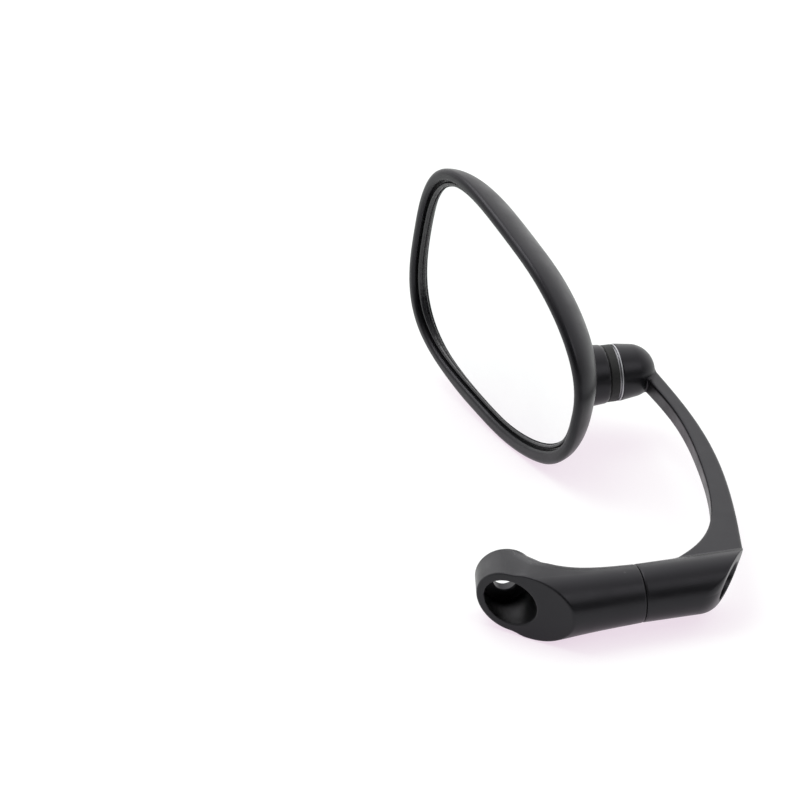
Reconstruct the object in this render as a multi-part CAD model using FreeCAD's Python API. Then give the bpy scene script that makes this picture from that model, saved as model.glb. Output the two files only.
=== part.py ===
import FreeCAD, Part
import math
import os
from FreeCAD import Placement, Rotation, Vector

# Bar mount: an elbow whose seat meets the bar's end and whose barrel carries the arm
seat_d = 20.6
bar_bolt_hole_d = 8.5
bar_bolt_seat = 4.6
counterbore_d = 17.6
elbow_angle = 81.0
elbow_bend_start = 8.0
elbow_waist_d = 26.0
elbow_corner_d = 25.6
eye_length = 25.6
eye_front_d = 23.2
mount_barrel_length = 46.5
mitre_angle = 37.0
mitre_depth = 19.4

# Swivel between bar mount and arm
barrel_d = 21.0
spigot_d = 14.0
spigot_length = 4.0
seam_edge = 0.4
swivel_thread_depth = 20.0

# Swivel bolt and washers
bolt_d = 6.0
bolt_head_d = 10.0
bolt_head_height = 6.0
bolt_key = 5.0
bolt_key_depth = 3.0
bolt_tip_gap = 2.0
washer_d = 12.0
washer_thick = 1.6
spring_washer_d = 11.0
spring_washer_thick = 1.6
spring_washer_slit = 1.2

# Arm casting: barrel, blade and knuckle
bolt_floor = 9.0
access_hole_d = 12.6
barrel_tip = 40.8
barrel_cut_angle = 39.6
barrel_cut_roll = 70.0
blade_thick = 7.0
blade_top = 8.6
blade_rise = 2.4
blade_edge = 0.9
blade_outer = [(39.6, 0.0), (47.4, 33.0), (52.4, 65.0), (53.2, 95.0), (49.8, 133.0)]
blade_inner_side = [(43.5, 133.0), (47.4, 100.0), (45.4, 67.0), (40.2, 39.0)]
blade_inner_root = [(33.0, 21.4), (25.0, 12.4), (14.0, 5.2)]

# Ball joint in the knuckle
ball_x = 38.4
ball_y = 134.2
ball_z = 13.5
ball_d = 12.0
liner_thick = 1.0
liner_gap = 0.3
liner_half_gap = 11.0
neck_d = 6.0
neck_swing = 18.0
knuckle_mouth_d = 22.6
knuckle_nose_d = 18.2
knuckle_nose = 11.6
knuckle_nose_r = 8.6
ring_thread_d = 18.4
ring_thread_length = 3.2
ring_flange = 0.6
ring_d = 22.4
ring_groove_d = 20.6
ring_crown = 0.9
seal_gap = 0.3
seal_thick = 1.7

# Mirror head: egg-shaped shell, glass and stem fastening
head_x = -12.6
head_y = 147.0
head_z = 34.1
head_yaw = 15.0
head_pitch = 0.8
head_lean = 13.4
rim_half_long = 63.7
rim_half_wide = 44.2
egg_power = 2.83
egg_share = 0.22
dome_depth = 25.0
dome_power = 2.15
shell_wall = 2.5
rim_width = 3.9
rim_round = 2.2
pocket_edge = 0.8
gasket_width = 2.2
gasket_recess = 1.8
glass_recess = 3.4
glass_thick = 3.0
glass_radius = 1000.0
pad_thick = 1.5
pad_width = 4.0
ledge_width = 6.0
ledge_thick = 1.8
boss_end_d = 22.8
boss_taper = 5.0
boss_blend = 6.0
stem_gap = 0.1
collar_d = 10.0
collar_thick = 1.0
stem_pad_d = 17.0
stem_pad_reach = 28.0
stem_tail = 1.4
stud_washer_d = 12.0
stud_washer_thick = 1.6
nut_key = 10.0
nut_height = 4.0

# Running clearances
swivel_gap = 0.08
thread_gap = 0.05

barrel_r = barrel_d / 2
far = 200.0
tiny = 0.01
X_AXIS = Vector(1, 0, 0)
Y_AXIS = Vector(0, 1, 0)
Z_AXIS = Vector(0, 0, 1)


def cylinder(radius, start, direction, length):
    return Part.makeCylinder(radius, length, start, direction)


def along_x(radius, start, end):
    return cylinder(radius, Vector(start, 0, 0), X_AXIS, end - start)


def half_space(point, normal):
    """Large block on the far side of a plane, for cutting."""
    block = Part.makeBox(2 * far, 2 * far, far, Vector(-far, -far, 0))
    block.Placement = Placement(point, Rotation(Z_AXIS, normal))
    return block


def circle_wire(centre, normal, radius):
    return Part.Wire(Part.makeCircle(radius, centre, normal))


def ring_x(outer_r, inner_r, start, end):
    return along_x(outer_r, start, end).cut(along_x(inner_r, start - 1, end + 1))


def hexagon_prism(key, height):
    """Hexagonal bar along +X, by its width across flats."""
    corner_r = key / math.sqrt(3)
    corners = [Rotation(X_AXIS, 60 * k).multVec(Y_AXIS * corner_r) for k in range(7)]
    return Part.Face(Part.makePolygon(corners)).extrude(X_AXIS * height)


# Frames. The barrel frame has its origin at the swivel seam and X along the barrel, towards the arm.
# The part's own frame has its origin at the bar seat and -Y out of the bore's front.
eye_back = Vector(math.cos(math.radians(elbow_angle)), math.sin(math.radians(elbow_angle)), 0)
seat_centre = Vector(-mount_barrel_length, 0, 0) + eye_back * eye_length
seat_turn = Rotation(Z_AXIS, 90 - elbow_angle)
to_part = Placement(seat_turn.multVec(seat_centre) * -1, seat_turn)

# The joint frame has its origin at the ball's centre and X towards the mirror head.
joint_to_barrel = Placement(Vector(ball_x, ball_y, ball_z), Rotation(Z_AXIS, 180))

# The head frame has its origin at the middle of the rim plane. X is the egg's long axis, and Z points out
# of the glass.
glass_to_left = Rotation(Z_AXIS, Vector(-1, 0, 0)) * Rotation(Z_AXIS, 90)
head_turn = Rotation(Z_AXIS, head_yaw) * Rotation(Y_AXIS, head_pitch) * Rotation(X_AXIS, head_lean)
head_to_barrel = Placement(Vector(head_x, head_y, head_z), head_turn * glass_to_left)


def placed(shape, *frames):
    """The shape carried through each frame in turn."""
    result = shape.copy()
    for frame in frames:
        result.Placement = frame * result.Placement
    return result


# Bar mount
def elbow_bend():
    """Swollen bend that rounds the inside of the elbow, from the barrel to the bar seat."""
    corner = Vector(-mount_barrel_length, 0, 0)
    start = Vector(-elbow_bend_start, 0, 0)
    start_r = barrel_r + (elbow_corner_d / 2 - barrel_r) * elbow_bend_start / mount_barrel_length
    sections = []
    steps = 8
    for step in range(steps + 1):
        share = step / steps
        centre = start * (1 - share) ** 2 + corner * (2 * share * (1 - share)) + seat_centre * share ** 2
        along = (corner - start) * (1 - share) + (seat_centre - corner) * share
        end_r = start_r + (seat_d / 2 - start_r) * share
        swell = math.sin(math.pi * share) ** 2
        sections.append(circle_wire(centre, along, end_r + (elbow_waist_d / 2 - end_r) * swell))
    return Part.makeLoft(sections, True, False)


def make_bar_mount():
    edge_start = Vector(-seam_edge, 0, 0)
    corner_length = mount_barrel_length - seam_edge
    barrel = Part.makeCone(barrel_r, elbow_corner_d / 2, corner_length, edge_start, X_AXIS * -1)
    barrel = barrel.fuse(Part.makeCone(barrel_r, barrel_r - seam_edge, seam_edge, edge_start, X_AXIS))
    eye = Part.makeCone(seat_d / 2, eye_front_d / 2, eye_length, seat_centre, eye_back * -1)
    body = elbow_bend().fuse(barrel).fuse(eye)
    body = body.fuse(along_x(spigot_d / 2 - swivel_gap, 0, spigot_length))
    face_point = seat_centre - eye_back * mitre_depth
    face_normal = Rotation(Z_AXIS, -mitre_angle).multVec(eye_back * -1)
    body = body.cut(half_space(face_point, face_normal))
    body = body.cut(cylinder(counterbore_d / 2, seat_centre - eye_back * bar_bolt_seat, eye_back * -1, far))
    body = body.cut(cylinder(bar_bolt_hole_d / 2, seat_centre + eye_back, eye_back * -1, far))
    body = body.cut(along_x(bolt_d / 2 + thread_gap, -swivel_thread_depth, spigot_length + 1))
    return placed(body.removeSplitter(), to_part)


# Swivel bolt with its washers, clamped against the floor of the arm's access hole
bolt_floor_x = spigot_length + swivel_gap + bolt_floor
washer_x = bolt_floor_x + swivel_gap
spring_washer_x = washer_x + washer_thick
bolt_head_x = spring_washer_x + spring_washer_thick


def make_swivel_bolt():
    shank = along_x(bolt_d / 2, bolt_tip_gap - swivel_thread_depth, bolt_head_x)
    head = along_x(bolt_head_d / 2, bolt_head_x, bolt_head_x + bolt_head_height)
    key = hexagon_prism(bolt_key, bolt_key_depth)
    key.translate(Vector(bolt_head_x + bolt_head_height - bolt_key_depth, 0, 0))
    return placed(shank.fuse(head).cut(key), to_part)


def make_swivel_washer():
    return placed(ring_x(washer_d / 2, bolt_d / 2 + swivel_gap, washer_x, spring_washer_x), to_part)


def make_swivel_spring_washer():
    ring = ring_x(spring_washer_d / 2, bolt_d / 2 + swivel_gap, spring_washer_x, bolt_head_x)
    slit_start = Vector(spring_washer_x, 0, 0)
    slit = Part.makeBox(spring_washer_thick, spring_washer_slit, spring_washer_d, slit_start)
    return placed(ring.cut(slit), to_part)


# Arm casting
def spline(points):
    curve = Part.BSplineCurve()
    curve.interpolate([Vector(x, y, 0) for x, y in points])
    return curve.toShape()


def make_blade():
    """Curved blade with its wide root, flat above and below, rising towards the knuckle."""
    blade_inner = blade_inner_side + blade_inner_root
    outer = spline(blade_outer)
    inner = spline(blade_inner)
    end = Part.makeLine(Vector(*blade_outer[-1], 0), Vector(*blade_inner[0], 0))
    root_corner = Vector(blade_inner[-1][0], 0, 0)
    root_side = Part.makeLine(Vector(*blade_inner[-1], 0), root_corner)
    root = Part.makeLine(root_corner, Vector(*blade_outer[0], 0))
    plan = Part.Face(Part.Wire([outer, end, inner, root_side, root]))
    blade = plan.extrude(Z_AXIS * blade_thick)
    long_edges = [e for e in blade.Edges if e.Length > far / 2 and e.BoundBox.ZLength < tiny]
    blade = blade.makeChamfer(blade_edge, long_edges)
    blade.rotate(Vector(0, 0, 0), X_AXIS, blade_rise)
    blade.translate(Vector(0, 0, blade_top - blade_thick))
    return blade


socket_r = ball_d / 2 + liner_thick + 2 * liner_gap
ring_face_r = ring_d / 2 + ring_crown
mouth = math.sqrt(ring_face_r ** 2 - (ring_d / 2) ** 2) - ring_flange


def make_knuckle_outside():
    """Bullet-shaped knuckle, turned about the joint's axis from its mouth to its rounded nose."""
    taper = math.atan2((knuckle_mouth_d - knuckle_nose_d) / 2, mouth + knuckle_nose)
    nose_flat = knuckle_nose_d / 2 - knuckle_nose_r * math.tan(math.pi / 4 - taper / 2)
    round_centre = Vector(knuckle_nose_r - knuckle_nose, nose_flat, 0)

    def on_round(degrees):
        return round_centre + Rotation(Z_AXIS, degrees).multVec(X_AXIS * knuckle_nose_r)

    round_middle = on_round(135 + math.degrees(taper) / 2)
    round_end = on_round(90 + math.degrees(taper))
    nose = Vector(-knuckle_nose, nose_flat, 0)
    mouth_edge = Vector(mouth, knuckle_mouth_d / 2, 0)
    corners = [round_end, mouth_edge, Vector(mouth, 0, 0), Vector(-knuckle_nose, 0, 0), nose]
    outline = Part.makePolygon(corners).Edges + [Part.Arc(nose, round_middle, round_end).toShape()]
    return Part.Face(Part.Wire(outline)).revolve(Vector(0, 0, 0), X_AXIS, 360)


def make_arm():
    seam = Vector(swivel_gap, 0, 0)
    barrel = along_x(barrel_r, swivel_gap + seam_edge, far)
    barrel = barrel.fuse(Part.makeCone(barrel_r - seam_edge, barrel_r, seam_edge, seam, X_AXIS))
    tip = Vector(barrel_tip, math.sqrt(barrel_r ** 2 - blade_top ** 2), blade_top)
    cut_turn = Rotation(X_AXIS, -barrel_cut_roll) * Rotation(Y_AXIS, barrel_cut_angle)
    end_cut = half_space(tip, cut_turn.multVec(X_AXIS))
    body = barrel.fuse(make_blade()).cut(end_cut)
    body = body.fuse(placed(make_knuckle_outside(), joint_to_barrel))
    body = body.cut(along_x(access_hole_d / 2, bolt_floor_x, far))
    body = body.cut(along_x(bolt_d / 2 + swivel_gap, 0, bolt_floor_x + 1))
    body = body.cut(along_x(spigot_d / 2, 0, spigot_length + swivel_gap))
    socket = Part.makeSphere(socket_r).fuse(along_x(socket_r, 0, mouth))
    socket = socket.fuse(along_x(ring_thread_d / 2 + thread_gap, mouth - ring_thread_length, mouth + 1))
    body = body.cut(placed(socket, joint_to_barrel))
    return placed(body.removeSplitter(), to_part)


# Ball joint
def spherical_ring(inner_r, outer_r, first_angle, last_angle):
    """Part of a spherical shell between two angles from +X, as one turned piece."""
    def at(radius, degrees):
        return Vector(radius * math.cos(math.radians(degrees)), radius * math.sin(math.radians(degrees)), 0)

    middle = (first_angle + last_angle) / 2
    edges = [
        Part.Arc(at(inner_r, first_angle), at(inner_r, middle), at(inner_r, last_angle)).toShape(),
        Part.makeLine(at(inner_r, last_angle), at(outer_r, last_angle)),
        Part.Arc(at(outer_r, last_angle), at(outer_r, middle), at(outer_r, first_angle)).toShape(),
        Part.makeLine(at(outer_r, first_angle), at(inner_r, first_angle)),
    ]
    return Part.Face(Part.Wire(edges)).revolve(Vector(0, 0, 0), X_AXIS, 360)


liner_in = ball_d / 2 + liner_gap
liner_out = liner_in + liner_thick
neck_angle = math.degrees(math.asin((neck_d / 2 + liner_gap) / liner_in))


def from_joint(shape):
    return placed(shape, joint_to_barrel, to_part)


def make_front_liner():
    return from_joint(spherical_ring(liner_in, liner_out, neck_angle, 90 - liner_half_gap))


def make_rear_liner():
    return from_joint(spherical_ring(liner_in, liner_out, 90 + liner_half_gap, 180))


def make_retaining_ring():
    """Threaded ring with a spherical seat inside, a thin flange and a rounded face towards the head."""
    thread = along_x(ring_thread_d / 2, mouth - ring_thread_length, mouth)
    flange = along_x(ring_d / 2, mouth, far)
    body = thread.fuse(flange).common(Part.makeSphere(ring_face_r))
    body = body.cut(ring_x(ring_d, ring_groove_d / 2, mouth + ring_flange, far))
    body = body.cut(Part.makeSphere(socket_r))
    swing = math.tan(math.radians(neck_swing))
    throat_r = neck_d / 2 / math.cos(math.radians(neck_swing)) + liner_gap
    opening = Part.makeCone(throat_r, throat_r + far * swing, far, Vector(0, 0, 0), X_AXIS)
    return from_joint(body.cut(opening).removeSplitter())


seal_in = ring_face_r + seal_gap
seal_out = seal_in + seal_thick
collar_face = math.sqrt(seal_out ** 2 - (collar_d / 2) ** 2)


def make_joint_seal():
    """Rubber washer over the ring's rounded face, flush with the ring outside."""
    body = along_x(ring_d / 2, 0, seal_out).common(Part.makeSphere(seal_out))
    body = body.cut(Part.makeSphere(seal_in))
    return from_joint(body.cut(along_x(collar_d / 2 + thread_gap, 0, seal_out)))


nut_x = stem_pad_reach + stud_washer_thick
stem_end = nut_x + nut_height + stem_tail


def make_ball_stud():
    """Ball, neck, collar and stem, turned as one."""
    neck_r = neck_d / 2
    collar_r = collar_d / 2
    ball_r = ball_d / 2
    neck_start = math.sqrt(ball_r ** 2 - neck_r ** 2)
    corners = [
        (neck_start, neck_r),
        (collar_face - collar_thick, neck_r),
        (collar_face - collar_thick, collar_r),
        (collar_face, collar_r),
        (collar_face, neck_r),
        (stem_end, neck_r),
        (stem_end, 0),
        (-ball_r, 0),
    ]
    sides = Part.makePolygon([Vector(a, r, 0) for a, r in corners])
    ball = Part.Arc(Vector(-ball_r, 0, 0), Vector(0, ball_r, 0), Vector(neck_start, neck_r, 0)).toShape()
    return from_joint(Part.Face(Part.Wire(sides.Edges + [ball])).revolve(Vector(0, 0, 0), X_AXIS, 360))


def make_stud_washer():
    return from_joint(ring_x(stud_washer_d / 2, neck_d / 2 + stem_gap, stem_pad_reach, nut_x))


def make_stud_nut():
    nut = hexagon_prism(nut_key, nut_height)
    nut.translate(Vector(nut_x, 0, 0))
    return from_joint(nut.cut(along_x(neck_d / 2 + thread_gap, 0, far)))


# Mirror head
def egg_wire(half_long, half_wide, depth):
    """Closed egg-shaped outline at a depth behind the rim plane, wider towards +X."""
    points = []
    count = 32
    for step in range(count):
        angle = 2 * math.pi * step / count
        cos, sin = math.cos(angle), math.sin(angle)
        x = math.copysign(abs(cos) ** (2 / egg_power), cos)
        y = math.copysign(abs(sin) ** (2 / egg_power), sin) * (1 + egg_share * cos)
        points.append(Vector(half_long * x, half_wide * y, -depth))
    curve = Part.BSplineCurve()
    curve.interpolate(Points=points, PeriodicFlag=True)
    return Part.Wire(curve.toShape())


def egg_prism(inset, top, bottom):
    """Straight-sided egg, inset from the rim's outline, between two depths."""
    face = Part.Face(egg_wire(rim_half_long - inset, rim_half_wide - inset, bottom))
    return face.extrude(Z_AXIS * (bottom - top))


def egg_flare(inset, edge):
    """Bevel at the rim plane that widens an inset egg by its own depth."""
    inner = egg_wire(rim_half_long - inset, rim_half_wide - inset, edge)
    outer = egg_wire(rim_half_long - inset + edge, rim_half_wide - inset + edge, 0)
    return Part.makeLoft([inner, outer], True, True)


def dome_section(inset, depth):
    """Section of the dome at a depth, for a wall that lies a given inset inside the shell's outside."""
    scale = (1 - (depth / (dome_depth - inset)) ** dome_power) ** (1 / dome_power)
    return egg_wire((rim_half_long - inset) * scale, (rim_half_wide - inset) * scale, depth)


def egg_dome(inset, start):
    """Domed egg from a starting depth to its crown."""
    way = dome_depth - inset - start
    shares = [0, 0.4, 0.68, 0.87, 0.965, 0.996]
    return Part.makeLoft([dome_section(inset, start + share * way) for share in shares], True, False)


def egg_rim():
    """Rounded front of the shell, a quarter round that ends where the dome starts."""
    scale = (1 - (rim_round / dome_depth) ** dome_power) ** (1 / dome_power)
    sections = []
    for degrees in (0, 30, 60, 90):
        angle = math.radians(degrees)
        inset = rim_round * (1 - math.sin(angle))
        half_long = rim_half_long * scale - inset
        half_wide = rim_half_wide * scale - inset
        sections.append(egg_wire(half_long, half_wide, rim_round * (1 - math.cos(angle))))
    return Part.makeLoft(sections, True, True)


pocket_depth = glass_recess + glass_thick + pad_thick
glass_inset = rim_width + gasket_width
cavity_start = pocket_depth + ledge_thick
barrel_to_head = head_to_barrel.inverse()

# The boss's root lies inside the dome, where the joint's axis meets the back of the ledge.
ball_depth = -barrel_to_head.multVec(joint_to_barrel.Base).z
depth_per_reach = barrel_to_head.Rotation.multVec(joint_to_barrel.Rotation.multVec(X_AXIS)).z
boss_reach = (ball_depth - cavity_start) / depth_per_reach


def make_boss():
    """Conical boss on the back of the shell, in the joint frame, before it is trimmed to the dome."""
    end_r = boss_end_d / 2
    start = math.sqrt(seal_out ** 2 - end_r ** 2)
    length = boss_reach - start
    flare = length * math.tan(math.radians(boss_taper))
    return Part.makeCone(end_r, end_r + flare, length, Vector(start, 0, 0), X_AXIS)


def in_head(shape):
    return placed(shape, joint_to_barrel, barrel_to_head)


def from_head(shape):
    return placed(shape, head_to_barrel, to_part)


def make_mirror_shell():
    body = egg_dome(0, rim_round).fuse(in_head(make_boss()))
    curved = [e for e in body.Edges if e.Curve.TypeId == "Part::GeomBSplineCurve"]
    boss_root = [e for e in curved if e.BoundBox.ZMax < -2 * rim_round and e.BoundBox.ZLength > tiny]
    body = body.makeFillet(boss_blend, boss_root).fuse(egg_rim())
    body = body.cut(egg_prism(rim_width, 0, pocket_depth))
    body = body.cut(egg_flare(rim_width, pocket_edge))
    body = body.cut(egg_prism(rim_width + ledge_width, 0, cavity_start))
    stem_pad = in_head(along_x(stem_pad_d / 2, 0, stem_pad_reach))
    spot_face = in_head(along_x(stem_pad_d / 2, stem_pad_reach, boss_reach))
    body = body.cut(egg_dome(shell_wall, cavity_start).cut(stem_pad)).cut(spot_face)
    seat = Part.makeSphere(seal_out).fuse(along_x(neck_d / 2 + stem_gap, 0, boss_reach))
    seat = seat.fuse(along_x(collar_d / 2 + stem_gap, 0, collar_face))
    return from_head(body.cut(in_head(seat)))


def make_glass_gasket():
    ring = egg_prism(rim_width, gasket_recess, pocket_depth)
    return from_head(ring.cut(egg_prism(glass_inset, 0, pocket_depth + 1)))


def make_mirror_glass():
    plate = egg_prism(glass_inset, 0, glass_recess + glass_thick)
    crown = glass_radius - math.sqrt(glass_radius ** 2 - (rim_half_long - glass_inset) ** 2)
    lens = Part.makeSphere(glass_radius, Vector(0, 0, crown - glass_recess - glass_radius), X_AXIS)
    return from_head(plate.common(lens))


def make_glass_pad():
    top = glass_recess + glass_thick
    ring = egg_prism(glass_inset, top, pocket_depth)
    return from_head(ring.cut(egg_prism(glass_inset + pad_width, 0, pocket_depth + 1)))


nodes = {
    "bar_mount": make_bar_mount,
    "arm": make_arm,
    "swivel_bolt": make_swivel_bolt,
    "swivel_washer": make_swivel_washer,
    "swivel_spring_washer": make_swivel_spring_washer,
    "retaining_ring": make_retaining_ring,
    "front_liner": make_front_liner,
    "rear_liner": make_rear_liner,
    "ball_stud": make_ball_stud,
    "joint_seal": make_joint_seal,
    "mirror_shell": make_mirror_shell,
    "stud_washer": make_stud_washer,
    "stud_nut": make_stud_nut,
    "glass_pad": make_glass_pad,
    "mirror_glass": make_mirror_glass,
    "glass_gasket": make_glass_gasket,
}

os.makedirs("parts", exist_ok=True)
for name, make in nodes.items():
    make().exportStep("parts/" + name + ".step")
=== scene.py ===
import math

import bpy
import numpy as np
from mathutils import Matrix, Vector


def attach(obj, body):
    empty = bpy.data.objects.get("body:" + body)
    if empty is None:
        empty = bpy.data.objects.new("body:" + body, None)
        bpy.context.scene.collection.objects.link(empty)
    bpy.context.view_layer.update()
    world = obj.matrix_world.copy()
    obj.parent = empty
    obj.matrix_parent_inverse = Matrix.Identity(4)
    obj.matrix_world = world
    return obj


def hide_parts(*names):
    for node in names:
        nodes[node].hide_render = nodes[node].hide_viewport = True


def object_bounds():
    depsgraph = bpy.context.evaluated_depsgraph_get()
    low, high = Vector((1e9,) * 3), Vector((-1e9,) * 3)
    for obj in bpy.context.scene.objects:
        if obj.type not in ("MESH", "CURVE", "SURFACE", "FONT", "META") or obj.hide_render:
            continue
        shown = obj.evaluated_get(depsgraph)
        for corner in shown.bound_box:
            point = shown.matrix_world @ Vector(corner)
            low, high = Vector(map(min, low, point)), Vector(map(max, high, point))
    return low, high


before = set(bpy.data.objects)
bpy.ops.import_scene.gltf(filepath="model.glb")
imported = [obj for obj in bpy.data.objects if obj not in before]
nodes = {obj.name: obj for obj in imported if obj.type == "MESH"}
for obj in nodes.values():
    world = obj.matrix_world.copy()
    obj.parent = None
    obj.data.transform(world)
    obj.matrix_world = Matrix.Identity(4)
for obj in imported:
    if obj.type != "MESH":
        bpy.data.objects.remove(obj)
cad_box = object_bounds()
scene = bpy.context.scene

# Sizes in millimetres, those of the solids or close to them. An EDGE or BLEND is the reach of a rounding.
MILLIMETRE = 0.001
PLAY = 0.02
TINY = 1e-6

# Barrel: along X, from the seam between bar mount and arm
SEAM = (45.9276, -18.3259, 0.0)
BARREL_TURN = math.radians(9.0)
BARREL_R = 10.5
BARREL_EDGE = 0.7
SWIVEL_GAP = 0.08

# Bar mount: an elbow with its corner on the barrel's axis, and an eye that ends in the seat
CORNER_BACK = 46.5
CORNER_GROWTH = 2.05
EYE_ANGLE = math.radians(81.0)
EYE_LENGTH = 25.6
EYE_R = 10.3
EYE_GROWTH = 1.3
FACE_SLANT = math.radians(35.0)
FACE_DEPTH = 20.1
FACE_EDGE = 0.6
SPIGOT_R = 6.92
SPIGOT_LENGTH = 4.0
SPIGOT_ROOT = 3.0
SCREW_HOLE_R = 3.05
SCREW_HOLE_DEPTH = 20.0
BORE_R = 8.6
BORE_FLOOR = 4.6
BORE_EDGE = 0.5
BOLT_HOLE_R = 4.25
HOLE_EDGE = 0.4

# Web of the elbow: FULLEST and FULL_SPAN are shares of its inner edge, SWELL_SPREAD is in square millimetres
WEB_START = 8.0
WEB_STEPS = 33
WEB_OVERRUN = 20.0
WEB_FULLNESS = 2.2
WEB_FULLEST = 0.72
WEB_FULL_SPAN = 0.2
WEB_SWELL = 0.75
WEB_SWELL_SPREAD = 160.0

# Arm: the barrel's other half, its slanted end, the blade and the knuckle
BLADE_OUTER = [(39.6, 0.0), (47.4, 33.0), (52.4, 65.0), (53.2, 95.0), (49.8, 133.0)]
BLADE_INNER = [
    (43.5, 133.0), (47.4, 100.0), (45.4, 67.0), (40.2, 39.0), (33.0, 21.4), (25.0, 12.4), (14.0, 5.2),
]
BLADE_ROOT = (14.0, 0.0)
OUTER_STEPS = 40
INNER_STEPS = 50
BLADE_FLOOR = 1.6
BLADE_HALF = 3.5
BLADE_RISE = math.radians(2.4)
BLADE_SHIFT = 0.15
BLADE_EDGE = 1.2
BLADE_BLEND = 0.5
TIP_X = 41.3
TIP_Z = 8.6
END_TWIST = math.radians(-70.0)
END_SLANT = math.radians(39.6)
END_EDGE = 0.4
END_ROUNDING = 4.0
ROUNDING_TOP = 8.0
ROUNDING_SPAN = 7.0
ACCESS_R = 6.3
ACCESS_FLOOR = 13.08
ACCESS_EDGE = 0.5
SCREW_WAY_END = 14.0
KNUCKLE_R = 11.3
KNUCKLE_BACK = 11.6
KNUCKLE_NARROWING = 2.2
KNUCKLE_EDGE = 0.5
KNUCKLE_BLEND = 0.9
NOSE_R = 8.6

# Swivel bolt
BOLT_HEAD_X = 16.36
BOLT_HEAD_R = 5.0
BOLT_HEAD_HALF = 3.0
BOLT_HEAD_EDGE = 0.8
BOLT_HEAD_ROOT = 1.0
SHANK_R = 3.0
SHANK_END = 18.0
KNURL_DEPTH = 0.06
KNURL_COUNT = 32
KEY_HALF = 2.5
KEY_FLOOR = 3.0
KEY_EDGE = 0.3
KEY_ANGLES = np.radians((30.0, 90.0, 150.0))

# Ball joint: spheres about the ball's centre, and a ring screwed into the knuckle's mouth
BALL = (38.4, 134.2, 13.5)
SOCKET_R = 7.6
SOCKET_THROAT_R = 5.24
SOCKET_RIM_R = 7.56
THREAD_R = 9.2
THREAD_LENGTH = 3.2
THREAD_GAP = 0.05
RING_FACE_R = 12.1
RING_R = 11.2
RING_LIP = 0.6
RING_CHAMFER = 0.1
RING_FLAT_R = 10.3
RING_THROAT_R = 6.73
SEAL_IN = 12.4
SEAL_OUT = 14.1
SEAL_R = 11.2
SEAL_SHOULDER_R = 11.0
SEAL_EDGE_SHARE = 0.435
SEAL_HOLE_R = 5.06
MOUTH = math.sqrt(RING_FACE_R ** 2 - RING_R ** 2) - RING_LIP

# Mirror head: an egg in X and Y, with its rim at Z = 0 and its dome towards -Z
HEAD = (-12.6, 147.0, 34.1)
HEAD_YAW = math.radians(15.0)
HEAD_PITCH = math.radians(0.8)
HEAD_LEAN = math.radians(13.4)
HALF_LONG = 63.4
HALF_WIDE = 44.1
EGG_POWER = 2.83
EGG_SHARE = 0.22
EGG_KNOTS = 32
EGG_STEPS = 6000
EGG_TABLE = 4097
DOME_DEPTH = 25.0
DOME_POWER = 2.15
SHELL_WALL = 2.5
SHELL_MARGIN = 1.0
RIM_WIDTH = 3.9
RIM_ROUNDING = 2.2
POCKET_DEPTH = 7.9
POCKET_EDGE = 0.5
POCKET_MOUTH_EDGE = 0.9
POCKET_MOUTH_DEPTH = 4.0
POCKET_MOUTH_SPAN = 2.0
LEDGE_WIDTH = 6.0
CAVITY_START = 9.7

# Swelling of the rim: START, GROWTH, END and FALL are degrees about the egg's centre
RIM_SWELL = 1.8
SWELL_START = 42.0
SWELL_GROWTH = 40.0
SWELL_END = 172.0
SWELL_FALL = 27.0
SWELL_DEPTH = 20.0
SWELL_FADE = 14.0

# Boss: a cone about the joint's axis, from the seal into the dome
BOSS_R = 11.4
BOSS_REACH = 30.9
BOSS_TAPER = math.radians(5.0)
BOSS_START = math.sqrt(SEAL_OUT ** 2 - BOSS_R ** 2)
BOSS_TRIM = 0.1
BOSS_EDGE = 2.0
BOSS_FILLET = 6.0
SEAL_SEAT_EDGE = 0.4
STEM_HOLE_R = 3.1
STEM_PAD_R = 8.5
STEM_PAD_END = 28.0

# Glass and gasket: insets from the egg's outline, and depths below the rim
GLASS_INSET = 6.1
GLASS_RECESS = 3.4
GLASS_BACK = 6.4
GLASS_RADIUS = 1000.0
GLASS_BEVEL = 0.3
GLASS_RINGS = 50
GLASS_MIDDLE = 0.02
GROOVE_END = 4.5
GROOVE_DEPTH = 2.75
LIP_INSET = 5.3
LIP_DEPTH = 2.65
LIP_HALF = 0.72
LIP_HEIGHT = 0.8
LIP_STEPS = 11
LIP_FOOT = (6.06, 3.5)

# Meshes: the spacing of the grid on which each skin is found, and the turn above which an edge is sharp
BAR_MOUNT_STEP = 0.42
ARM_STEP = 0.45
BOLT_STEP = 0.25
SHELL_STEP = 0.66
SHARP_TURN = math.radians(32.0)

# Places in the barrel's frame, and frames that take millimetres of their own to the part's metres
barrel_frame = Matrix.Scale(MILLIMETRE, 4) @ Matrix.Translation(SEAM) @ Matrix.Rotation(BARREL_TURN, 4, "Z")
joint_place = Matrix.Translation(BALL) @ Matrix.Rotation(math.pi, 4, "Z")
joint_frame = barrel_frame @ joint_place
head_turn = Matrix.Rotation(HEAD_YAW, 4, "Z") @ Matrix.Rotation(HEAD_PITCH, 4, "Y")
head_turn = head_turn @ Matrix.Rotation(HEAD_LEAN, 4, "X")
glass_to_left = Matrix(((0, 0, -1, 0), (1, 0, 0, 0), (0, -1, 0, 0), (0, 0, 0, 1)))
head_place = Matrix.Translation(HEAD) @ head_turn @ glass_to_left
head_frame = barrel_frame @ head_place
joint_in_head = head_place.inverted() @ joint_place


# Materials
WHITE = (1.0, 1.0, 1.0, 1.0)
COOL_TINT = (0.94, 0.92, 1.0, 1.0)
# Lighter edges, partly wear and partly a painted edge highlight: the lighter colour's share, and the
# pointiness over which it comes in
WEAR_AND_HIGHLIGHT_SHARE = 0.5
WEAR_AND_HIGHLIGHT_FROM = 0.53
WEAR_AND_HIGHLIGHT_TO = 0.62
GLOSS_SCALE = 2.3
MIX_COLOURS = (6, 7)
MIX_RESULT = 2


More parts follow.
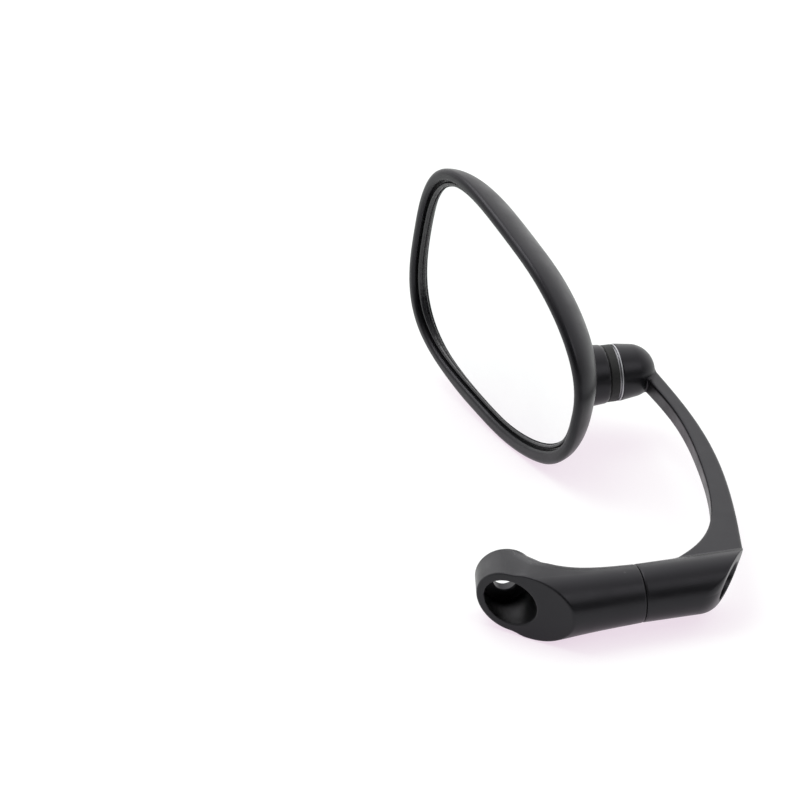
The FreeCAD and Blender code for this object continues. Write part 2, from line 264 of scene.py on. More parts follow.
def new_material(name):
    material = bpy.data.materials.new(name)
    material.use_nodes = True
    tree = material.node_tree
    return material, tree, tree.nodes["Principled BSDF"]


def add(tree, kind, **settings):
    """New shader node. A setting goes to the input of that name, or else to the node itself."""
    node = tree.nodes.new(kind)
    for key, value in settings.items():
        if key in node.inputs:
            node.inputs[key].default_value = value
        else:
            setattr(node, key, value)
    return node


def noise(tree, scale, detail=3.0):
    """Noise that is fixed to the object, with features about 1 / scale metres wide."""
    place = add(tree, "ShaderNodeTexCoord")
    texture = add(tree, "ShaderNodeTexNoise", Scale=scale, Detail=detail)
    tree.links.new(place.outputs["Object"], texture.inputs["Vector"])
    return texture.outputs["Fac"]


def spread(tree, value, low, high, start=0.3, end=0.7):
    """A value between two ends, carried to another range."""
    node = add(tree, "ShaderNodeMapRange")
    node.inputs["From Min"].default_value = start
    node.inputs["From Max"].default_value = end
    node.inputs["To Min"].default_value = low
    node.inputs["To Max"].default_value = high
    tree.links.new(value, node.inputs["Value"])
    return node.outputs["Result"]


def blend(tree, share, dark, light):
    """Mix of two colours, either written or linked."""
    node = add(tree, "ShaderNodeMix", data_type="RGBA")
    for socket, colour in zip(MIX_COLOURS, (dark, light)):
        if isinstance(colour, tuple):
            node.inputs[socket].default_value = (*colour, 1.0)
        else:
            tree.links.new(colour, node.inputs[socket])
    tree.links.new(share, node.inputs["Factor"])
    return node.outputs[MIX_RESULT]


def mottled(tree, scale, dark, light, detail=3.0):
    """Two colours mixed by noise."""
    return blend(tree, spread(tree, noise(tree, scale, detail), 0.0, 1.0), dark, light)


def bump(tree, value, depth, strength):
    node = add(tree, "ShaderNodeBump", Strength=strength, Distance=depth)
    tree.links.new(value, node.inputs["Height"])
    return node.outputs["Normal"]


def finish(name, dark, light, rough, metal=0.0, mottle=60.0, grain=900.0,
           depth=0.00003, strength=0.3, specular=0.5, wear_and_highlight=None):
    """Solid finish with a mottled colour, uneven gloss, a fine grain and, if given, lighter edges that are
    partly wear and partly a painted highlight.
    """
    material, tree, shader = new_material(name + " finish")
    shader.inputs["Metallic"].default_value = metal
    shader.inputs["Specular IOR Level"].default_value = specular
    shader.inputs["Specular Tint"].default_value = COOL_TINT if wear_and_highlight else WHITE
    colour = mottled(tree, mottle, dark, light, detail=4.0)
    if wear_and_highlight:
        # Edges lightened by pointiness: partly wear, partly a painted highlight along the edges
        shape = add(tree, "ShaderNodeNewGeometry")
        edge = spread(tree, shape.outputs["Pointiness"], 0.0, WEAR_AND_HIGHLIGHT_SHARE, WEAR_AND_HIGHLIGHT_FROM, WEAR_AND_HIGHLIGHT_TO)
        colour = blend(tree, edge, colour, wear_and_highlight)
    tree.links.new(colour, shader.inputs["Base Color"])
    tree.links.new(spread(tree, noise(tree, mottle * GLOSS_SCALE), *rough), shader.inputs["Roughness"])
    tree.links.new(bump(tree, noise(tree, grain), depth, strength), shader.inputs["Normal"])
    return material


# Black alloy's lighter edge colour is partly wear and partly a painted edge highlight
black_alloy = finish("black_alloy", (0.0060, 0.0058, 0.0068), (0.0090, 0.0088, 0.0100), (0.30, 0.40),
                     grain=2600.0, depth=0.00002, strength=0.2, specular=0.33, wear_and_highlight=(0.055, 0.053, 0.056))
bare_alloy = finish("bare_alloy", (0.46, 0.46, 0.48), (0.56, 0.56, 0.58), (0.48, 0.6), metal=1.0)
steel = finish("steel", (0.36, 0.36, 0.37), (0.48, 0.48, 0.49), (0.28, 0.42), metal=1.0)
rubber = finish("rubber", (0.006, 0.006, 0.006), (0.010, 0.010, 0.010), (0.55, 0.7), strength=0.5)
gasket = finish("gasket", (0.012, 0.012, 0.014), (0.022, 0.022, 0.025), (0.16, 0.34),
                mottle=140.0, grain=420.0, depth=0.00025, strength=0.8)
foam = finish("foam", (0.02, 0.02, 0.02), (0.035, 0.035, 0.035), (0.8, 0.95), grain=1500.0, strength=0.8)
liner = finish("liner", (0.70, 0.69, 0.65), (0.80, 0.79, 0.75), (0.4, 0.55))
mirror = finish("mirror", (0.925, 0.93, 0.935), (0.955, 0.96, 0.96), (0.012, 0.03), metal=1.0,
                mottle=25.0, depth=0.000001, strength=0.02)

finishes = {
    "bar_mount": black_alloy,
    "arm": black_alloy,
    "mirror_shell": black_alloy,
    "retaining_ring": bare_alloy,
    "swivel_bolt": steel,
    "swivel_washer": steel,
    "swivel_spring_washer": steel,
    "ball_stud": steel,
    "stud_washer": steel,
    "stud_nut": steel,
    "front_liner": liner,
    "rear_liner": liner,
    "joint_seal": rubber,
    "glass_pad": foam,
    "glass_gasket": gasket,
    "mirror_glass": mirror,
}
for name, material in finishes.items():
    mesh = nodes[name].data
    mesh.materials.clear()
    mesh.materials.append(material)


# Pieces: each replaces the solid of the same name
def add_piece(name, shape, place, material, body):
    """Object made of points, faces and normals in a frame of their own. Without normals, sharp edges show."""
    points, faces, normals = shape
    matrix = np.array(place)
    mesh = bpy.data.meshes.new(name + "_detail")
    mesh.from_pydata((points @ matrix[:3, :3].T + matrix[:3, 3]).tolist(), [], faces)
    mesh.update()
    mesh.materials.append(material)
    mesh.shade_smooth()
    if normals is None:
        mesh.set_sharp_from_angle(angle=SHARP_TURN)
    else:
        aimed = normals @ matrix[:3, :3].T
        aimed /= np.linalg.norm(aimed, axis=1)[:, None]
        mesh.normals_split_custom_set_from_vertices(aimed.tolist())
    piece = bpy.data.objects.new(name + "_detail", mesh)
    scene.collection.objects.link(piece)
    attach(piece, body)
    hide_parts(name)


def slope(field, points, reach=0.02):
    """Gradient of a field at points."""
    parts = []
    for axis in range(3):
        shift = np.zeros(3)
        shift[axis] = reach
        parts.append(field(*(points + shift).T) - field(*(points - shift).T))
    return np.stack(parts, axis=1) / (2 * reach)


def skin(field, low, high, step, rounds=3, least_slope=0.2):
    """Closed mesh over the surface where a distance field is zero, with the normals of the field."""
    axes = [np.arange(a, b + step, step) for a, b in zip(low, high)]
    value = field(*np.meshgrid(*axes, indexing="ij", sparse=True))
    cells = np.array(value.shape) - 1
    total = np.zeros((cells.prod(), 3))
    hits = np.zeros(cells.prod())
    quads = []
    for axis in range(3):
        near = np.moveaxis(value, axis, 0)[:-1]
        beyond = np.moveaxis(value, axis, 0)[1:]
        spot = np.argwhere((near < 0) != (beyond < 0))
        start, end = near[tuple(spot.T)], beyond[tuple(spot.T)]
        order = [axis] + [k for k in range(3) if k != axis]
        grid = np.empty_like(spot)
        grid[:, order] = spot
        crossing = grid.astype(float)
        crossing[:, axis] += start / (start - end)
        first, second = (axis + 1) % 3, (axis + 2) % 3
        around = []
        for back_first, back_second in ((1, 1), (0, 1), (0, 0), (1, 0)):
            cell = grid.copy()
            cell[:, first] -= back_first
            cell[:, second] -= back_second
            flat = np.ravel_multi_index(cell.T, cells)
            np.add.at(total, flat, crossing)
            np.add.at(hits, flat, 1.0)
            around.append(flat)
        quad = np.stack(around, axis=1)
        quads.append(np.where((start < 0)[:, None], quad, quad[:, ::-1]))
    used = np.flatnonzero(hits)
    number = np.zeros(len(hits), dtype=int)
    number[used] = np.arange(len(used))
    points = total[used] / hits[used][:, None] * step + np.array(low)
    for _ in range(rounds):
        rise = slope(field, points)
        steep = np.maximum((rise ** 2).sum(axis=1), least_slope)
        move = np.clip(field(*points.T) / steep, -step / 2, step / 2)
        points = points - rise * move[:, None]
    return points, number[np.concatenate(quads)].tolist(), slope(field, points)


def soft_max(a, b, reach):
    """Greater of two fields with a rounded edge."""
    share = np.maximum(reach - np.abs(a - b), 0.0) / reach
    return np.maximum(a, b) + share ** 2 * reach / 4


def soft_min(a, b, reach):
    """Lesser of two fields with a rounded corner."""
    return -soft_max(-a, -b, reach)


def arc_max(a, b, radius):
    """Greater of two fields with an edge rounded by an arc."""
    outside = np.hypot(np.maximum(a + radius, 0.0), np.maximum(b + radius, 0.0))
    return np.minimum(np.maximum(a, b), -radius) + outside


def arc_min(a, b, radius):
    """Lesser of two fields with a corner filled by an arc."""
    return -arc_max(-a, -b, radius)


def ramp(value, span):
    """0 up to zero, 1 from the span on, and even in between."""
    return np.clip(value / span, 0.0, 1.0)


def to_polygon(x, y, corners):
    """Distance to a polygon in the plane, below zero inside it, and the nearest point of its outline."""
    nearest = np.full(np.broadcast(x, y).shape, np.inf)
    inside = np.zeros(nearest.shape, dtype=bool)
    foot_x, foot_y = nearest.copy(), nearest.copy()
    for (ax, ay), (bx, by) in zip(corners, np.roll(corners, -1, axis=0)):
        dx, dy = bx - ax, by - ay
        along = np.clip(((x - ax) * dx + (y - ay) * dy) / (dx * dx + dy * dy), 0.0, 1.0)
        here_x, here_y = ax + along * dx, ay + along * dy
        apart = (x - here_x) ** 2 + (y - here_y) ** 2
        closer = apart < nearest
        nearest = np.where(closer, apart, nearest)
        foot_x, foot_y = np.where(closer, here_x, foot_x), np.where(closer, here_y, foot_y)
        if ay != by:
            inside ^= ((ay > y) != (by > y)) & (x < ax + (y - ay) / dy * dx)
    return np.where(inside, -1.0, 1.0) * np.sqrt(nearest), foot_x, foot_y


def smooth_line(points, count, closed=False):
    """Points along a cubic spline, which is natural at open ends."""
    knots = np.array(points)
    if closed:
        knots = np.concatenate((knots, knots[:1]))
    step = np.diff(knots, axis=0)
    span = np.linalg.norm(step, axis=1)
    chord = step / span[:, None]
    reached = np.concatenate(([0.0], np.cumsum(span)))
    system = np.eye(len(knots))
    right = np.zeros(knots.shape)
    for k in range(1, len(knots) - 1):
        system[k, k - 1:k + 2] = span[k - 1], 2 * (span[k - 1] + span[k]), span[k]
        right[k] = 6 * (chord[k] - chord[k - 1])
    if closed:
        system[0, -1] = -1.0
        system[-1, [0, 1, -2, -1]] = 2 * span[0], span[0], span[-1], 2 * span[-1]
        right[-1] = 6 * (chord[0] - chord[-1])
    bend = np.linalg.solve(system, right)
    along = np.linspace(0.0, reached[-1], count)
    k = np.clip(np.searchsorted(reached, along, side="right") - 1, 0, len(knots) - 2)
    length = span[k][:, None]
    gone = (along - reached[k])[:, None]
    left = length - gone
    curved = (bend[k] * left ** 3 + bend[k + 1] * gone ** 3) / (6 * length)
    from_start = (knots[k] / length - bend[k] * length / 6) * left
    from_end = (knots[k + 1] / length - bend[k + 1] * length / 6) * gone
    return curved + from_start + from_end


# Bar mount: barrel and eye joined by a smooth web on the inside of the elbow
corner = np.array((-CORNER_BACK, 0.0))
eye_back = np.array((math.cos(EYE_ANGLE), math.sin(EYE_ANGLE)))
seat = corner + EYE_LENGTH * eye_back


def bend_path():
    """Inner edge of the elbow's web, fuller where it turns into the eye."""
    share = np.linspace(0.0, 1.0, WEB_STEPS)[:, None]
    start = np.array((-WEB_START, 0.0))
    path = start * (1 - share) ** 2 + corner * (2 * share * (1 - share)) + seat * share ** 2
    along = (corner - start) * (1 - share) + (seat - corner) * share
    inward = np.stack((along[:, 1], -along[:, 0]), axis=1) / np.linalg.norm(along, axis=1)[:, None]
    return path + inward * WEB_FULLNESS * np.exp(-((share - WEB_FULLEST) / WEB_FULL_SPAN) ** 2)


bend = bend_path()
web = np.concatenate(([(WEB_OVERRUN, 0.0)], [corner], [seat + WEB_OVERRUN * eye_back], bend[::-1]))
face_turn = EYE_ANGLE + math.pi - FACE_SLANT
face_normal = np.array((math.cos(face_turn), math.sin(face_turn)))
face_point = seat - FACE_DEPTH * eye_back


def eye_axis(x, y):
    """Distance from the seat along the eye's axis, and to the side of it."""
    depth = -((x - seat[0]) * eye_back[0] + (y - seat[1]) * eye_back[1])
    return depth, (x - seat[0]) * eye_back[1] - (y - seat[1]) * eye_back[0]


def web_radius(x, y):
    """Half thickness of the elbow over a point of its web."""
    depth, side = eye_axis(x, y)
    barrel_r = BARREL_R + CORNER_GROWTH * ramp(-x, CORNER_BACK)
    eye_r = EYE_R + EYE_GROWTH * ramp(depth, EYE_LENGTH)
    share = side ** 2 / (side ** 2 + y ** 2 + TINY)
    middle = bend[len(bend) // 2]
    apart = (x - middle[0]) ** 2 + (y - middle[1]) ** 2
    return eye_r + (barrel_r - eye_r) * share + WEB_SWELL * np.exp(-apart / WEB_SWELL_SPREAD)


def bar_mount_field(x, y, z):
    """Elbow cut at seam, seat and slanted face, with its spigot, the screw's hole and a stepped bore."""
    off_web, foot_x, foot_y = to_polygon(x, y, web)
    within = off_web < 0
    radius = web_radius(np.where(within, x, foot_x), np.where(within, y, foot_y))
    body = np.hypot(np.maximum(off_web, 0.0), z) - radius
    depth, side = eye_axis(x, y)
    body = soft_max(body, x, BARREL_EDGE)
    body = soft_max(body, -depth, BARREL_EDGE)
    past_face = (x - face_point[0]) * face_normal[0] + (y - face_point[1]) * face_normal[1]
    body = soft_max(body, past_face, FACE_EDGE)
    off_barrel = np.hypot(y, z)
    spigot = np.maximum(off_barrel - SPIGOT_R, np.maximum(x - SPIGOT_LENGTH, -SPIGOT_ROOT - x))
    body = np.minimum(body, spigot)
    screw_hole = np.maximum(off_barrel - SCREW_HOLE_R, -SCREW_HOLE_DEPTH - x)
    body = soft_max(body, -screw_hole, HOLE_EDGE)
    off_eye = np.hypot(side, z)
    bore = np.maximum(off_eye - BORE_R, BORE_FLOOR - depth)
    body = soft_max(body, -bore, BORE_EDGE)
    return soft_max(body, BOLT_HOLE_R - off_eye, HOLE_EDGE)


bar_mount_skin = skin(bar_mount_field, low=(-64.0, -16.0, -15.0), high=(6.0, 28.0, 15.0), step=BAR_MOUNT_STEP)
add_piece("bar_mount", bar_mount_skin, barrel_frame, black_alloy, "base")

# Arm: barrel with an obliquely cut end, curved blade and knuckle
outer_line = smooth_line(BLADE_OUTER, OUTER_STEPS)
inner_line = smooth_line(BLADE_INNER, INNER_STEPS)
blade_plan = np.concatenate((outer_line, inner_line, [BLADE_ROOT]))
tip = (TIP_X, math.sqrt(BARREL_R ** 2 - TIP_Z ** 2), TIP_Z)
end_turn = Matrix.Rotation(END_TWIST, 3, "X") @ Matrix.Rotation(END_SLANT, 3, "Y")
end_normal = end_turn @ Vector((1.0, 0.0, 0.0))
knuckle_taper = math.atan2(KNUCKLE_NARROWING, MOUTH + KNUCKLE_BACK)


def blade_field(x, y, z):
    """Plate of even thickness that rises a little towards the knuckle."""
    level = (z - BLADE_FLOOR) * math.cos(BLADE_RISE) - y * math.sin(BLADE_RISE)
    plan = to_polygon(x, (y + BLADE_SHIFT) / math.cos(BLADE_RISE), blade_plan)[0]
    return soft_max(plan, np.abs(level - BLADE_HALF) - BLADE_HALF, BLADE_EDGE)


def arm_field(x, y, z):
    """Barrel, blade and knuckle, less the ways of the bolt, the spigot, the ball and the ring."""
    off_barrel = np.hypot(y, z)
    body = soft_max(off_barrel - BARREL_R, SWIVEL_GAP - x, BARREL_EDGE)
    body = soft_min(body, blade_field(x, y, z), BLADE_BLEND)
    past_end = (x - tip[0]) * end_normal[0] + (y - tip[1]) * end_normal[1] + (z - tip[2]) * end_normal[2]
    body = soft_max(body, past_end, END_EDGE + END_ROUNDING * ramp(ROUNDING_TOP - z, ROUNDING_SPAN))
    along = BALL[0] - x
    off_joint = np.hypot(y - BALL[1], z - BALL[2])
    cone = (off_joint - KNUCKLE_R + (MOUTH - along) * math.tan(knuckle_taper)) * math.cos(knuckle_taper)
    knuckle = soft_max(arc_max(cone, -along - KNUCKLE_BACK, NOSE_R), along - MOUTH, KNUCKLE_EDGE)
    body = soft_min(body, knuckle, KNUCKLE_BLEND)
    access = np.maximum(off_barrel - ACCESS_R, ACCESS_FLOOR - x)
    body = soft_max(body, -access, ACCESS_EDGE)
    screw_way = np.maximum(off_barrel - (SHANK_R + SWIVEL_GAP), x - SCREW_WAY_END)
    body = np.maximum(body, -screw_way)
    spigot_way = np.maximum(off_barrel - (SPIGOT_R + SWIVEL_GAP), x - (SPIGOT_LENGTH + SWIVEL_GAP))
    body = np.maximum(body, -spigot_way)
    body = np.maximum(body, SOCKET_R - np.hypot(np.minimum(along, 0.0), off_joint))
    ring_way = np.maximum(off_joint - (THREAD_R + THREAD_GAP), MOUTH - THREAD_LENGTH - along)
    return np.maximum(body, -ring_way)


arm_skin = skin(arm_field, low=(-1.0, -12.5, -12.5), high=(56.0, 148.0, 27.0), step=ARM_STEP)
add_piece("arm", arm_skin, barrel_frame, black_alloy, "swing_arm")


# Swivel bolt: socket-head screw with a knurled head
def bolt_field(x, y, z):
    """Head with knurl and hexagonal key hole, and a plain shank."""
    off = np.hypot(y, z)
    knurl = KNURL_DEPTH * (1 + np.cos(KNURL_COUNT * np.arctan2(z, y)))
    ends = np.abs(x - BOLT_HEAD_X - BOLT_HEAD_HALF) - BOLT_HEAD_HALF
    head = soft_max(off - BOLT_HEAD_R + knurl, ends, BOLT_HEAD_EDGE)
    flats = [np.abs(y * math.cos(a) + z * math.sin(a)) for a in KEY_ANGLES]
    key = np.maximum(np.maximum(flats[0], flats[1]), flats[2]) - KEY_HALF
    head = soft_max(head, -np.maximum(key, BOLT_HEAD_X + KEY_FLOOR - x), KEY_EDGE)
    shank = np.maximum(off - SHANK_R, np.maximum(x - BOLT_HEAD_X - BOLT_HEAD_ROOT, -SHANK_END - x))
    return np.minimum(head, shank)


bolt_skin = skin(bolt_field, low=(-19.0, -6.0, -6.0), high=(23.5, 6.0, 6.0), step=BOLT_STEP)
add_piece("swivel_bolt", bolt_skin, barrel_frame, steel, "base")


# Mirror shell: domed egg with a rounded rim, a pocket for the glass and a boss for the ball joint
def egg_points():
    """Points that the egg's outline passes through, wider towards +X."""
    angle = 2 * np.pi * np.arange(EGG_KNOTS) / EGG_KNOTS
    cos, sin = np.cos(angle), np.sin(angle)
    x = np.sign(cos) * np.abs(cos) ** (2 / EGG_POWER)
    y = np.sign(sin) * np.abs(sin) ** (2 / EGG_POWER) * (1 + EGG_SHARE * cos)
    return np.stack((HALF_LONG * x, HALF_WIDE * y), axis=1)


egg_line = smooth_line(egg_points(), EGG_STEPS + 1, closed=True)[:-1]
egg_angle = np.arctan2(egg_line[:, 1], egg_line[:, 0])
egg_order = np.argsort(egg_angle)
egg_angles = np.linspace(-np.pi, np.pi, EGG_TABLE)
egg_reach = np.interp(egg_angles, egg_angle[egg_order], np.hypot(*egg_line[egg_order].T), period=2 * np.pi)
egg_turn = np.gradient(egg_reach, egg_angles)


def egg(x, y, inset):
    """Gauge that is 1 on the egg's outline and 0 at its centre, and how steeply it rises."""
    wider, higher = HALF_LONG / (HALF_LONG - inset), HALF_WIDE / (HALF_WIDE - inset)
    x, y = x * wider, y * higher
    off = np.maximum(np.hypot(x, y), TINY)
    angle = np.arctan2(y, x)
    reach = np.interp(angle, egg_angles, egg_reach)
    turn = np.interp(angle, egg_angles, egg_turn) / reach
    by_x = wider * (x + y * turn) / (off * reach)
    by_y = higher * (y - x * turn) / (off * reach)
    return off / reach, np.hypot(by_x, by_y)


def to_egg(x, y, inset):
    """Distance to the inset outline of the egg, below zero inside it."""
    gauge, rise = egg(x, y, inset)
    return (gauge - 1) / rise


def to_dome(x, y, z, inset):
    """Distance to the inset dome, which goes on as a straight wall above the rim."""
    gauge, rise = egg(x, y, inset)
    depth = DOME_DEPTH - inset
    share = np.maximum(-z, 0.0) / depth
    whole = (gauge ** DOME_POWER + share ** DOME_POWER) ** (1 / DOME_POWER)
    power = DOME_POWER - 1
    return (whole - 1) * whole ** power / np.hypot(gauge ** power * rise, share ** power / depth)


def rim_swell(x, y, z):
    """How much wider the rim is on the near part of its lower side."""
    angle = np.degrees(np.arctan2(y, x))
    share = ramp(angle - SWELL_START, SWELL_GROWTH) * ramp(SWELL_END - angle, SWELL_FALL)
    share = share * ramp(z + SWELL_DEPTH, SWELL_FADE)
    return RIM_SWELL * share ** 2 * (3 - 2 * share)


head_in_joint = np.array(joint_in_head.inverted())


def shell_field(x, y, z):
    """Dome and boss, less the seal's sphere, the pocket with its ledge, the cavity and the stem's hole."""
    along, u, v = (row[0] * x + row[1] * y + row[2] * z + row[3] for row in head_in_joint[:3])
    off = np.hypot(u, v)
    boss = (off - BOSS_R - (along - BOSS_START) * math.tan(BOSS_TAPER)) * math.cos(BOSS_TAPER)
    body = arc_max(to_dome(x, y, z, 0.0) - rim_swell(x, y, z), z, RIM_ROUNDING)
    body = arc_min(body, np.maximum(boss, along - BOSS_REACH), BOSS_FILLET)
    body = soft_max(body, BOSS_START + BOSS_TRIM - along, BOSS_EDGE)
    body = soft_max(body, SEAL_OUT - np.hypot(along, off), SEAL_SEAT_EDGE)
    pocket = np.maximum(to_egg(x, y, RIM_WIDTH), -z - POCKET_DEPTH)
    near_mouth = ramp(z + POCKET_MOUTH_DEPTH, POCKET_MOUTH_SPAN)
    body = soft_max(body, -pocket, POCKET_EDGE + POCKET_MOUTH_EDGE * near_mouth)
    within_ledge = np.maximum(to_egg(x, y, RIM_WIDTH + LEDGE_WIDTH), -z - CAVITY_START)
    body = np.maximum(body, -within_ledge)
    stem_pad = np.maximum(off - STEM_PAD_R, along - STEM_PAD_END)
    cavity = np.maximum(np.maximum(to_dome(x, y, z, SHELL_WALL), z + CAVITY_START), -stem_pad)
    body = np.maximum(body, -cavity)
    return np.maximum(body, STEM_HOLE_R - off)


shell_back = joint_in_head.translation.z - SHELL_MARGIN
shell_skin = skin(shell_field, low=(-66.0, -52.0, shell_back), high=(66.0, 52.0, 2.0), step=SHELL_STEP)
add_piece("mirror_shell", shell_skin, head_frame, black_alloy, "head")


# Turned and swept pieces
def loft(rings, closed):
    """Rings of points joined in turn. Open ends are closed by fans, and a closed loft joins last to first."""
    count = len(rings[0])
    points = np.concatenate(rings)
    faces = []
    near = np.arange(count)
    beyond = np.roll(near, -1)
    pairs = len(rings) if closed else len(rings) - 1
    for k in range(pairs):
        a, b = k * count, (k + 1) % len(rings) * count
        faces += np.stack((near + a, beyond + a, beyond + b, near + b), axis=1).tolist()
    if not closed:
        first, last = len(points), len(points) + 1
        points = np.concatenate((points, [rings[0].mean(axis=0)], [rings[-1].mean(axis=0)]))
        end = (len(rings) - 1) * count
        faces += [(b, a, first) for a, b in zip(near, beyond)]
        faces += [(a + end, b + end, last) for a, b in zip(near, beyond)]
    return points, faces, None


def turned(profile, count=192):
    """Closed profile of (along, radius) points, turned about the X axis."""
    angle = np.linspace(0.0, 2 * np.pi, count, endpoint=False)
    rings = [np.stack((np.full(count, a), r * np.cos(angle), r * np.sin(angle)), axis=1) for a, r in profile]
    return loft(rings, True)


def arc(radius, first_r, last_r, count):
    """Profile points on a sphere about the ball's centre, between two distances from the axis."""
    angles = np.linspace(math.asin(first_r / radius), math.asin(last_r / radius), count)
    return [(radius * math.cos(a), radius * math.sin(a)) for a in angles]


# Retaining ring: thread, chamfered lip, flat edge, domed face and a throat that holds the ball
ring_profile = [
    (MOUTH - THREAD_LENGTH, THREAD_R),
    (MOUTH, THREAD_R),
    (MOUTH, RING_R - RING_CHAMFER),
    (MOUTH + RING_CHAMFER, RING_R),
    (MOUTH + RING_LIP - RING_CHAMFER, RING_R),
    (MOUTH + RING_LIP, RING_R - RING_CHAMFER),
    (MOUTH + RING_LIP, RING_FLAT_R),
]
ring_profile += arc(RING_FACE_R, RING_FLAT_R, RING_THROAT_R, count=14)
ring_profile += arc(SOCKET_R, SOCKET_THROAT_R, SOCKET_RIM_R, count=8)
add_piece("retaining_ring", turned(ring_profile), joint_frame, bare_alloy, "swing_arm")

# Joint seal: a washer between two spheres
seal_profile = arc(SEAL_IN, SEAL_HOLE_R, SEAL_SHOULDER_R, count=12)
seal_profile += [(SEAL_IN * SEAL_EDGE_SHARE, SEAL_R)]
seal_profile += arc(SEAL_OUT, SEAL_R, SEAL_HOLE_R, count=12)
add_piece("joint_seal", turned(seal_profile), joint_frame, rubber, "head")


def egg_ring(inset, z, share=1.0, count=320):
    """Ring of points on the inset outline of the egg, or a share of the way out to it."""
    angle = np.linspace(0.0, 2 * np.pi, count, endpoint=False)
    x, y = np.cos(angle), np.sin(angle)
    reach = share / egg(x, y, inset)[0]
    return np.stack((x * reach, y * reach, np.broadcast_to(z, x.shape)), axis=1)


def on_lens(ring):
    """The ring laid on the convex face of the glass."""
    crown = GLASS_RADIUS - math.sqrt(GLASS_RADIUS ** 2 - (HALF_LONG - GLASS_INSET) ** 2) - GLASS_RECESS
    sag = GLASS_RADIUS - np.sqrt(GLASS_RADIUS ** 2 - ring[:, 0] ** 2 - ring[:, 1] ** 2)
    return np.stack((ring[:, 0], ring[:, 1], crown - sag), axis=1)


# Mirror glass: convex face, bevelled edge and flat back
face_shares = np.linspace(GLASS_MIDDLE, 1.0, GLASS_RINGS)
glass_rings = [on_lens(egg_ring(GLASS_INSET + GLASS_BEVEL, 0.0, share)) for share in face_shares]
bevel = on_lens(egg_ring(GLASS_INSET + PLAY, 0.0))
bevel[:, 2] -= GLASS_BEVEL
glass_rings += [bevel, egg_ring(GLASS_INSET + PLAY, -GLASS_BACK)]
add_piece("mirror_glass", loft(glass_rings[::-1], False), head_frame, mirror, "head")

# Gasket: a groove beside the rim and a rounded lip against the glass, as (inset, depth) points
lip_angles = np.linspace(math.pi, 0.0, LIP_STEPS)
lip = [(LIP_INSET + LIP_HALF * math.cos(a), LIP_DEPTH - LIP_HEIGHT * math.sin(a)) for a in lip_angles]
groove = [
    (RIM_WIDTH + PLAY, POCKET_DEPTH - PLAY),
    (RIM_WIDTH + PLAY, GROOVE_DEPTH),
    (GROOVE_END, GROOVE_DEPTH),
]
gasket_profile = groove + lip + [LIP_FOOT, (GLASS_INSET - PLAY, POCKET_DEPTH - PLAY)]
gasket_rings = [egg_ring(inset, -depth) for inset, depth in gasket_profile]
add_piece("glass_gasket", loft(gasket_rings, True), head_frame, gasket, "head")

# Floor: white to the camera and in reflections, with the object's shadow on it
FLOOR_SIZE = 20.0
PAPER_SCALE = 6.0
PAPER_DARK = (0.93, 0.925, 0.93)
PAPER_LIGHT = (0.95, 0.945, 0.95)
SHADE_DARK = (0.27, 0.385, 0.295)
SHADE_LIGHT = (0.28, 0.395, 0.305)
GLOW = (0.78, 0.665, 0.755, 1.0)


def seen_rays(tree):
    """1 for the rays in which the floor shows."""
    rays = add(tree, "ShaderNodeLightPath")
    direct = add(tree, "ShaderNodeMath", operation="MAXIMUM")
    tree.links.new(rays.outputs["Is Camera Ray"], direct.inputs[0])
    tree.links.new(rays.outputs["Is Glossy Ray"], direct.inputs[1])
    seen = add(tree, "ShaderNodeMath", operation="MAXIMUM")
    tree.links.new(direct.outputs["Value"], seen.inputs[0])
    tree.links.new(rays.outputs["Is Transmission Ray"], seen.inputs[1])
    return seen.outputs["Value"]


def floor_material():
    """Plain paper for the light that it throws back, and a glowing one where it is seen."""
    material, tree, shader = new_material("floor")
    tree.links.new(mottled(tree, PAPER_SCALE, PAPER_DARK, PAPER_LIGHT), shader.inputs["Base Color"])
    shader.inputs["Roughness"].default_value = 0.9
    shader.inputs["Specular IOR Level"].default_value = 0.1
    shaded = add(tree, "ShaderNodeBsdfDiffuse")
    tree.links.new(mottled(tree, PAPER_SCALE, SHADE_DARK, SHADE_LIGHT), shaded.inputs["Color"])
    glow = add(tree, "ShaderNodeEmission", Color=GLOW, Strength=1.0)
    seen_floor = add(tree, "ShaderNodeAddShader")
    tree.links.new(shaded.outputs["BSDF"], seen_floor.inputs[0])
    tree.links.new(glow.outputs["Emission"], seen_floor.inputs[1])
    choice = add(tree, "ShaderNodeMixShader")
    tree.links.new(seen_rays(tree), choice.inputs["Fac"])
    tree.links.new(shader.outputs["BSDF"], choice.inputs[1])
    tree.links.new(seen_floor.outputs["Shader"], choice.inputs[2])
    tree.links.new(choice.outputs["Shader"], tree.nodes["Material Output"].inputs["Surface"])
    return material


bpy.ops.mesh.primitive_plane_add(size=FLOOR_SIZE, location=(0.0, 0.0, cad_box[0].z))
floor = bpy.context.object
floor.name = "floor"
floor.data.materials.append(floor_material())

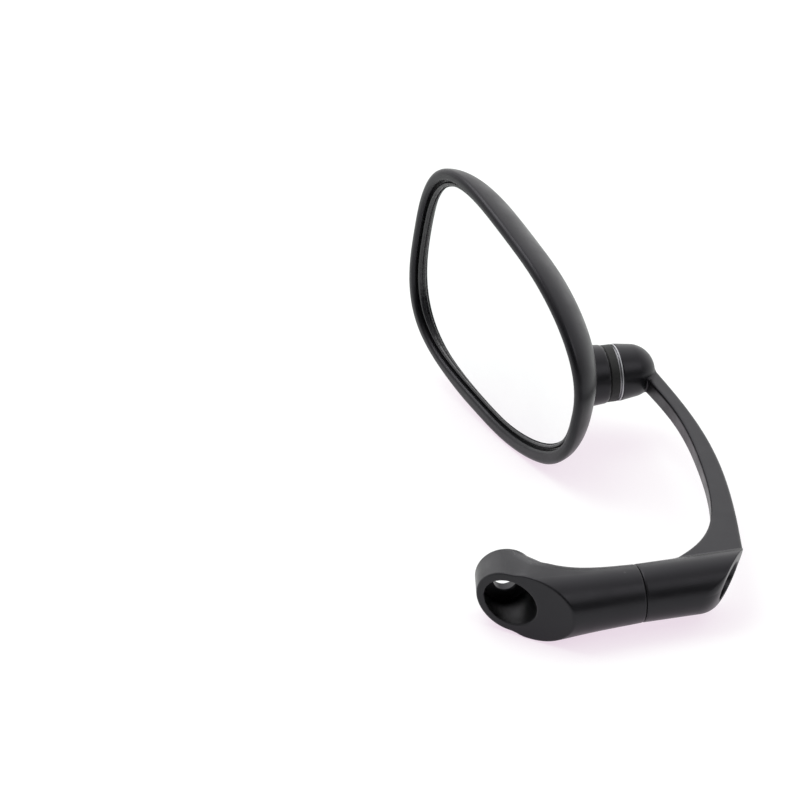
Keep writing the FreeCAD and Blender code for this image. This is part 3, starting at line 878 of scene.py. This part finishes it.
# Studio: white behind, above and at the sides, and darker on the camera's side
FRONT = Vector((-0.098, -0.98, -0.1))
STUDIO_BRIGHT = 1.5
STUDIO_DARK = 0.03
STUDIO_TURN = 0.6
LIGHTS_AIM = Vector((0.0, 0.08, 0.0))

world = bpy.data.worlds.new("studio")
scene.world = world
world.use_nodes = True
tree = world.node_tree
backdrop = tree.nodes["Background"]
backdrop.inputs["Color"].default_value = WHITE
direction = add(tree, "ShaderNodeTexCoord")
facing = add(tree, "ShaderNodeVectorMath", operation="DOT_PRODUCT")
tree.links.new(direction.outputs["Generated"], facing.inputs[0])
facing.inputs[1].default_value = FRONT
glare = spread(tree, facing.outputs["Value"], STUDIO_BRIGHT, STUDIO_DARK, -STUDIO_TURN, STUDIO_TURN)
tree.links.new(glare, backdrop.inputs["Strength"])


def softbox(name, where, size, power):
    """Round area light that faces the object."""
    light = bpy.data.lights.new(name, "AREA")
    light.shape = "DISK"
    light.size = size
    light.energy = power
    holder = bpy.data.objects.new(name, light)
    scene.collection.objects.link(holder)
    holder.location = where
    holder.rotation_euler = (LIGHTS_AIM - Vector(where)).to_track_quat("-Z", "Y").to_euler()


softbox("key", (-0.5, 0.5, 1.4), size=1.0, power=8.0)
softbox("fill", (0.9, -0.7, 1.0), size=0.9, power=3.0)

# Camera at the photograph's place, given in the barrel's frame
CAMERA_PLACE = Vector((-337.8, -954.0, 644.8))
CAMERA_YAW = math.radians(-104.7)
CAMERA_PITCH = math.radians(29.3)

camera = bpy.data.cameras.new("camera")
camera.sensor_width = 36.0
camera.lens = 151.2
camera.clip_start = 0.01
holder = bpy.data.objects.new("camera", camera)
scene.collection.objects.link(holder)
scene.camera = holder
yaw = CAMERA_YAW + BARREL_TURN
pitch = CAMERA_PITCH
back = Vector((math.cos(pitch) * math.cos(yaw), math.cos(pitch) * math.sin(yaw), math.sin(pitch)))
right = Vector((0.0, 0.0, 1.0)).cross(back).normalized()
up = back.cross(right)
placing = Matrix((right, up, back)).transposed().to_4x4()
placing.translation = barrel_frame @ CAMERA_PLACE
holder.matrix_world = placing

scene.view_settings.view_transform = "Standard"
